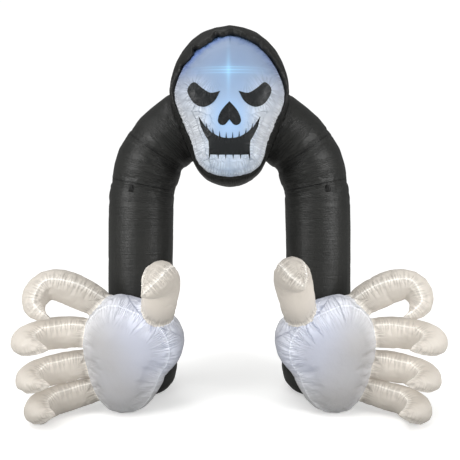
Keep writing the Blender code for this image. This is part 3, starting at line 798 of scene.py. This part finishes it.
seams = ["hood_ring", "hood_back", "neck_left", "neck_right", "face_rim"]
hood = blow_up("hood_bag", ["hood"], seams, 0.022, 0.004, 0.006, 0.02)
gather(hood, seams, HOOD_FOLDS, ridge=-0.0008)
for _, hand in SIDES:
    nodes = [f"gore_upper_{hand}", f"gore_lower_{hand}", f"leg_{hand}"]
    seams = [f"shoulder_{hand}", f"elbow_{hand}", f"neck_{hand}", f"leg_back_{hand}"]
    sleeve = blow_up(f"sleeve_{hand}", nodes, seams, 0.0185, 0.004, 0.006, 0.025, buried=(seams[2], "hood"))
    gather(sleeve, seams, BEND_FOLDS, unevenness=0.0008, lines=[f"bend_{hand}"], calm=bend_calm)
    trim(sleeve, seams[2], hood)
    for node, cuts in zip(nodes, (seams[1:2], seams[:2], seams[:1])):
        finish(part(sleeve, node, *cuts), node, LEG_BLACK)
    bpy.data.objects.remove(sleeve)
finish(hood, "hood", LEG_BLACK)

# %% [markdown]
# ## The skull
#
# The face is one domed panel, and a strip of the same cloth behind it gives the head its depth. The seam
# between them is short, so the panel is gathered all the way round and smooth in the middle.

# %% Skull
FACE_FOLDS = ((0.034, 0.0026, 0.085), (0.070, 0.0036, 0.150))


def face_calm(places):
    """The middle of the face is stretched smooth, its sides, brow and jaw are gathered."""
    off = (places - np.array(MIDDLE + Vector((0.0, -0.5, 2.05)))) / (0.13, 1.0, 0.30)
    return np.clip(np.hypot(off[:, 0], off[:, 2]) * 1.8 - 1.2, 0.0, 1.0)


seams = ["face", "face_rim"]
head = blow_up("head", ["skull_gusset", "skull_face"], seams, 0.0119, buried=("face_rim", "hood"))
gather(head, [*seams, "jaw", *PATCHES], FACE_FOLDS, ridge=0.0005, calm=face_calm)
trim(head, "face_rim", hood)
finish(part(head, "skull_gusset", "face"), "skull_gusset", FACE_WHITE)
skull = finish(part(head, "skull_face", "face"), "skull_face", FACE_WHITE)

# %% [markdown]
# ## The hood's brim
#
# The hood's front edge is a loose roll of its own cloth. It isn't held up by the air as the rest is, so it
# is crushed: its lower edge hangs in short waves over the forehead. So the roll's inner front is moved in
# and forward, most between two peaks, and what then lies inside the head is trimmed out to the head's
# surface. The head is still whole for this, because a piece cut at the face's seam has a flat end there
# that would pull the roll's points to itself.

# %% Brim
BRIM_PEAKS = (64, 87, 101, 124, 143)  # degrees round the head where the brim's lower edge is drawn up
BRIM_MIDDLE = MIDDLE + Vector((0.0, -0.392, HEAD_UP))
FLAP = 0.035  # metres of the roll's front and inner side over which it comes loose
brim = blow_up("brim", ["hood_brim"], ["face_rim"], 0.009, 0.002, 0.005)
places = places_of(brim.data)
arm = (places - np.array(BRIM_MIDDLE)) * (1.0, 0.0, 1.0)
radius = np.linalg.norm(arm, axis=1)
turn = np.degrees(np.arctan2(arm[:, 2], arm[:, 0]))
hang = np.interp(turn, (10, 40, 90, 108, 150, 175), (0.0, 0.016, 0.018, 0.042, 0.042, 0.0))
for peak in BRIM_PEAKS:
    hang *= 1.0 - 0.85 * np.exp(-(((turn - peak) / 3.2) ** 2))
hang += np.where(hang > 0.0, 0.002 * np.sin(turn * 0.9) + 0.0015 * np.sin(turn * 2.3), 0.0)
outer = np.array([radius[np.abs(turn - one) < 4.0].max() for one in turn])
loose = np.clip((BRIM_MIDDLE.y + 0.012 - places[:, 1]) / FLAP, 0.0, 1.0)
loose *= np.clip((outer - radius) / FLAP, 0.0, 1.0)
loose *= np.clip((np.sin(np.radians(turn)) - 0.28) * 3.0, 0.0, 1.0)
places -= arm / radius[:, None] * (loose * hang)[:, None]
places[:, 1] -= loose * (0.030 + hang)
put_places(brim.data, places)
gather(brim, ["face_rim"], (), calm=lambda places: np.full(len(places), 0.25))
trim(brim, "face", head, clear=0.0015)
bpy.data.objects.remove(head)
finish(brim, "hood_brim", LEG_BLACK)

# %% [markdown]
# ## The hands
#
# Each palm is a front panel and a deep back, each digit a curled tube sewn from two panels. On the real
# hands the outer side of a curl is stretched smooth and the inner side crushed into folds; here each digit
# is gathered alike along its seams. A digit ends in a small drawn-out point, where its panels run together.

# %% Palms and digits
PALM_FOLDS = ((0.042, 0.0075, 0.110), (0.085, 0.0110, 0.210))
DIGIT_FOLDS = ((0.034, 0.0045, 0.065), (0.060, 0.0055, 0.100))
TIP_REACH = 0.055  # metres of the digit's end that the point takes in


def palm_calm(places):
    """The palm is gathered most at its top and its inner rim, where the thumb pulls."""
    inward = (0.68 - np.abs(places[:, 0] - MIDDLE.x)) / 0.35
    return np.clip(0.45 + 0.5 * inward + 0.6 * (places[:, 2] - 0.42) / 0.38, 0.3, 1.0)


def draw_tip(piece, digit, side):
    """Pulls the end of a digit out to the small point where its panels run together."""
    rows = digit_rows(digit, side)
    forward = Vector(rows[-1][:3] - rows[-4][:3]).normalized()
    point = np.array(Vector(rows[-1][:3]) + forward * 0.010)
    places = places_of(piece.data)
    far = np.linalg.norm(places - point, axis=1)
    pull = np.clip(1.0 - far / TIP_REACH, 0.0, 1.0) ** 1.5 * 0.8
    put_places(piece.data, places + (point - places) * pull[:, None])


for side, hand in SIDES:
    nodes = [f"palm_front_{hand}", f"palm_back_{hand}"]
    seams = [f"{name}_{hand}" for name in ("palm", "thumb", "index", "middle", "ring", "little")]
    palm = blow_up(f"palm_{hand}", nodes, seams, 0.015)
    gather(palm, seams, PALM_FOLDS, ridge=0.0025, calm=palm_calm)
    for digit in DIGIT_LINES:
        node = f"{digit}_{hand}"
        seams = [node, f"{digit}_panel0_{hand}", f"{digit}_panel1_{hand}"]
        sewn = (node, *reversed(nodes))
        piece = blow_up(node + "_tube", [node], seams, 0.0125, 0.004, 0.008, 0.04, buried=sewn)
        draw_tip(piece, digit, side)
        gather(piece, seams, DIGIT_FOLDS, ridge=0.0005, unevenness=0.001)
        trim(piece, node, palm)
        finish(piece, node, DIGIT_WHITE)
    for node in nodes:
        finish(part(palm, node, f"palm_{hand}"), node, PALM_WHITE)
    bpy.data.objects.remove(palm)

# %% [markdown]
# ## The face patches
#
# A patch is flat cloth cut to its outline and sewn down all round, so it follows the face. The front of its
# solid is cut into small cells, dropped on the finished face and given the cloth's own thickness.

# %% Eyes, nose and mouth
PATCH_LIFT = 0.0020  # metres between the face and the back of a patch
PATCH_CLOTH = 0.0010  # metres of thickness
CELL = 0.009  # metres from one cut of a patch to the next


def sew_patch(node):
    piece = cloth_copy(node, f"cloth_{node}")
    mesh = piece.data
    bpy.context.tool_settings.mesh_select_mode = (False, False, True)
    for polygon in mesh.polygons:
        polygon.select = polygon.normal.y > -0.3
    bpy.ops.object.mode_set(mode="EDIT")
    bpy.ops.mesh.delete(type="FACE")
    bpy.ops.mesh.select_mode(type="VERT")
    low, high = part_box(node)
    for axis, normal in ((0, (1, 0, 0)), (2, (0, 0, 1))):
        for step in range(1, int((high[axis] - low[axis]) / CELL)):
            place = [0.0, 0.0, 0.0]
            place[axis] = low[axis] + step * CELL
            bpy.ops.mesh.select_all(action="SELECT")
            bpy.ops.mesh.bisect(plane_co=place, plane_no=normal)
    bpy.ops.object.mode_set(mode="OBJECT")
    tree = bvhtree.BVHTree.FromObject(skull, bpy.context.evaluated_depsgraph_get())
    places = places_of(mesh)
    for place in places:
        hit = tree.ray_cast(Vector((place[0], -2.0, place[2])), Vector((0, 1, 0)))[0]
        place[1] = hit.y - PATCH_LIFT
    put_places(mesh, places)
    along, away = seam_field(places, [node])
    mark(mesh, "seam", along, away, np.ones(len(away)))
    mark(mesh, "fold", along, away, np.ones(len(away)))
    wall = piece.modifiers.new("cloth", "SOLIDIFY")
    wall.thickness = PATCH_CLOTH
    wall.offset = 1.0
    apply_all(piece)
    mesh.shade_smooth()
    mesh.materials.clear()
    mesh.materials.append(PATCH_BLACK)
    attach(piece, "root")
    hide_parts(node)


for patch in PATCHES:
    sew_patch(patch)

# %% [markdown]
# ## The tether tabs
#
# A short strap is folded into a loop and caught in the shoulder seam, to tie the arch down. It is flat
# woven webbing, so it is a bent strip with a real thickness.

# %% Tether tabs
WEB_WIDTH = 0.030
WEB_THICK = 0.0022
WEB_BOW = 0.0035  # metres that each half of the loop bows out


def tether_tab(hand):
    node = f"tether_tab_{hand}"
    low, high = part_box(node)
    middle = (low + high) / 2
    bpy.ops.object.select_all(action="DESELECT")
    bpy.ops.mesh.primitive_grid_add(x_subdivisions=4, y_subdivisions=24, size=1.0)
    tab = bpy.context.object
    tab.name = f"webbing_{node}"
    mesh = tab.data
    places = places_of(mesh)
    half = (high[2] - low[2]) / 2
    for place in places:
        across, turn = place[0] * WEB_WIDTH, (place[1] + 0.5) * 2 * math.pi
        place[0] = middle.x + across * (1.0 - 0.18 * math.cos(turn / 2) ** 2)
        place[1] = low[1] - WEB_BOW - WEB_BOW * math.sin(turn)
        place[2] = middle.z + half * math.cos(turn)
    put_places(mesh, places)
    wall = tab.modifiers.new("webbing", "SOLIDIFY")
    wall.thickness = WEB_THICK
    wall.offset = 0.0
    apply_all(tab)
    mesh.shade_smooth()
    mesh.materials.append(LEG_BLACK)
    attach(tab, "root")
    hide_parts(node)
    print(f"{node}: {len(mesh.polygons)} faces")


for _, hand in SIDES:
    tether_tab(hand)

# %% [markdown]
# ## Floor, light and camera
#
# The floor is a wide pale disc. The light is soft and comes mostly from above, with a wide lamp on each
# side that draws the sheen down the legs. The room light is weaker than the white that the camera sees
# behind the arch.

# %% Floor
bpy.ops.object.select_all(action="DESELECT")
bpy.ops.mesh.primitive_circle_add(vertices=96, radius=30.0, fill_type="NGON", location=(0.0, 0.0, 0.0))
floor = bpy.context.object
floor.name = "studio_floor"
paint = bpy.data.materials.new("pale_floor")
paint.use_nodes = True
tree = paint.node_tree
spot = add(tree, "ShaderNodeTexCoord").outputs["Object"]
seen = add(tree, "ShaderNodeLightPath")
grain = add(tree, NOISE, {"Vector": spot, "Scale": 3.0, "Detail": 4.0})
tone = add(tree, MIX, {0: grain.outputs["Fac"], 6: linear("#e4e4e2"), 7: linear("#e8e8e7")}, data_type="RGBA")
by_camera = seen.outputs["Is Camera Ray"]
bright = add(tree, MIX, {0: by_camera, 6: linear("#a9a9a7"), 7: tone.outputs[2]}, data_type="RGBA")
lift = {0: by_camera, 6: (0.0, 0.0, 0.0, 1.0), 7: (0.42, 0.42, 0.42, 1.0)}
extra = add(tree, MIX, lift, data_type="RGBA")
tree.links.new(bright.outputs[2], tree.nodes["Principled BSDF"].inputs["Base Color"])
tree.links.new(extra.outputs[2], tree.nodes["Principled BSDF"].inputs["Emission Color"])
tree.nodes["Principled BSDF"].inputs["Roughness"].default_value = 0.9
tree.nodes["Principled BSDF"].inputs["Emission Strength"].default_value = 1.0
floor.data.materials.append(paint)
print("floor:", floor.name, "with", paint.name)

# %% Light and camera
world = bpy.data.worlds.new("white_room")
bpy.context.scene.world = world
world.use_nodes = True
tree = world.node_tree
seen = add(tree, "ShaderNodeLightPath")
dim = add(tree, RANGE, {"Value": seen.outputs["Is Glossy Ray"], 1: 0.0, 2: 1.0, 3: 0.58, 4: 0.22})
level = add(tree, MIX, {0: seen.outputs["Is Camera Ray"], 2: dim.outputs[0], 3: 1.05})
tree.nodes["Background"].inputs["Color"].default_value = (1.0, 1.0, 1.0, 1.0)
tree.links.new(level.outputs[0], tree.nodes["Background"].inputs["Strength"])
ceiling = bpy.data.lights.new("ceiling_light", "SUN")
ceiling.energy = 1.12
ceiling.angle = math.radians(38)
holder = bpy.data.objects.new("ceiling_light", ceiling)
bpy.context.scene.collection.objects.link(holder)
holder.rotation_euler = Vector((0.25, 0.30, -1.0)).to_track_quat("-Z", "Y").to_euler()
for side, hand in SIDES:
    lamp = bpy.data.lights.new(f"softbox_{hand}", "AREA")
    lamp.shape = "RECTANGLE"
    lamp.size, lamp.size_y = 1.6, 2.6
    lamp.energy = 19.0
    lamp.spread = math.radians(70)
    holder = bpy.data.objects.new(f"softbox_{hand}", lamp)
    bpy.context.scene.collection.objects.link(holder)
    holder.location = (side * 3.1, -2.7, 2.2)
    holder.rotation_euler = Vector((-side * 2.2, 2.7, -0.9)).to_track_quat("-Z", "Y").to_euler()
    holder.visible_camera = False

FRAME = 460.0  # the photograph's width and height, in pixels, as the next two are
FOCAL = 538.8  # the camera's focal length, matched to the photograph's perspective
HORIZON = 199.6  # down from the top of the frame
PITCH = math.atan((FRAME / 2 - HORIZON) / FOCAL)
FILM = 36.0  # millimetres
camera = bpy.data.cameras.new("camera")
camera.lens = FOCAL * FILM / FRAME
camera.sensor_width = FILM
view = bpy.data.objects.new("camera", camera)
bpy.context.scene.collection.objects.link(view)
view.location = (0.0052, -3.8884, 1.5)
view.rotation_euler = (math.pi / 2 - PITCH, 0.0, 0.0)
bpy.context.scene.camera = view
bpy.context.scene.view_settings.view_transform = "Standard"
print(f"camera: {camera.lens:.1f} mm lens, pitched down {math.degrees(PITCH):.2f} degrees")
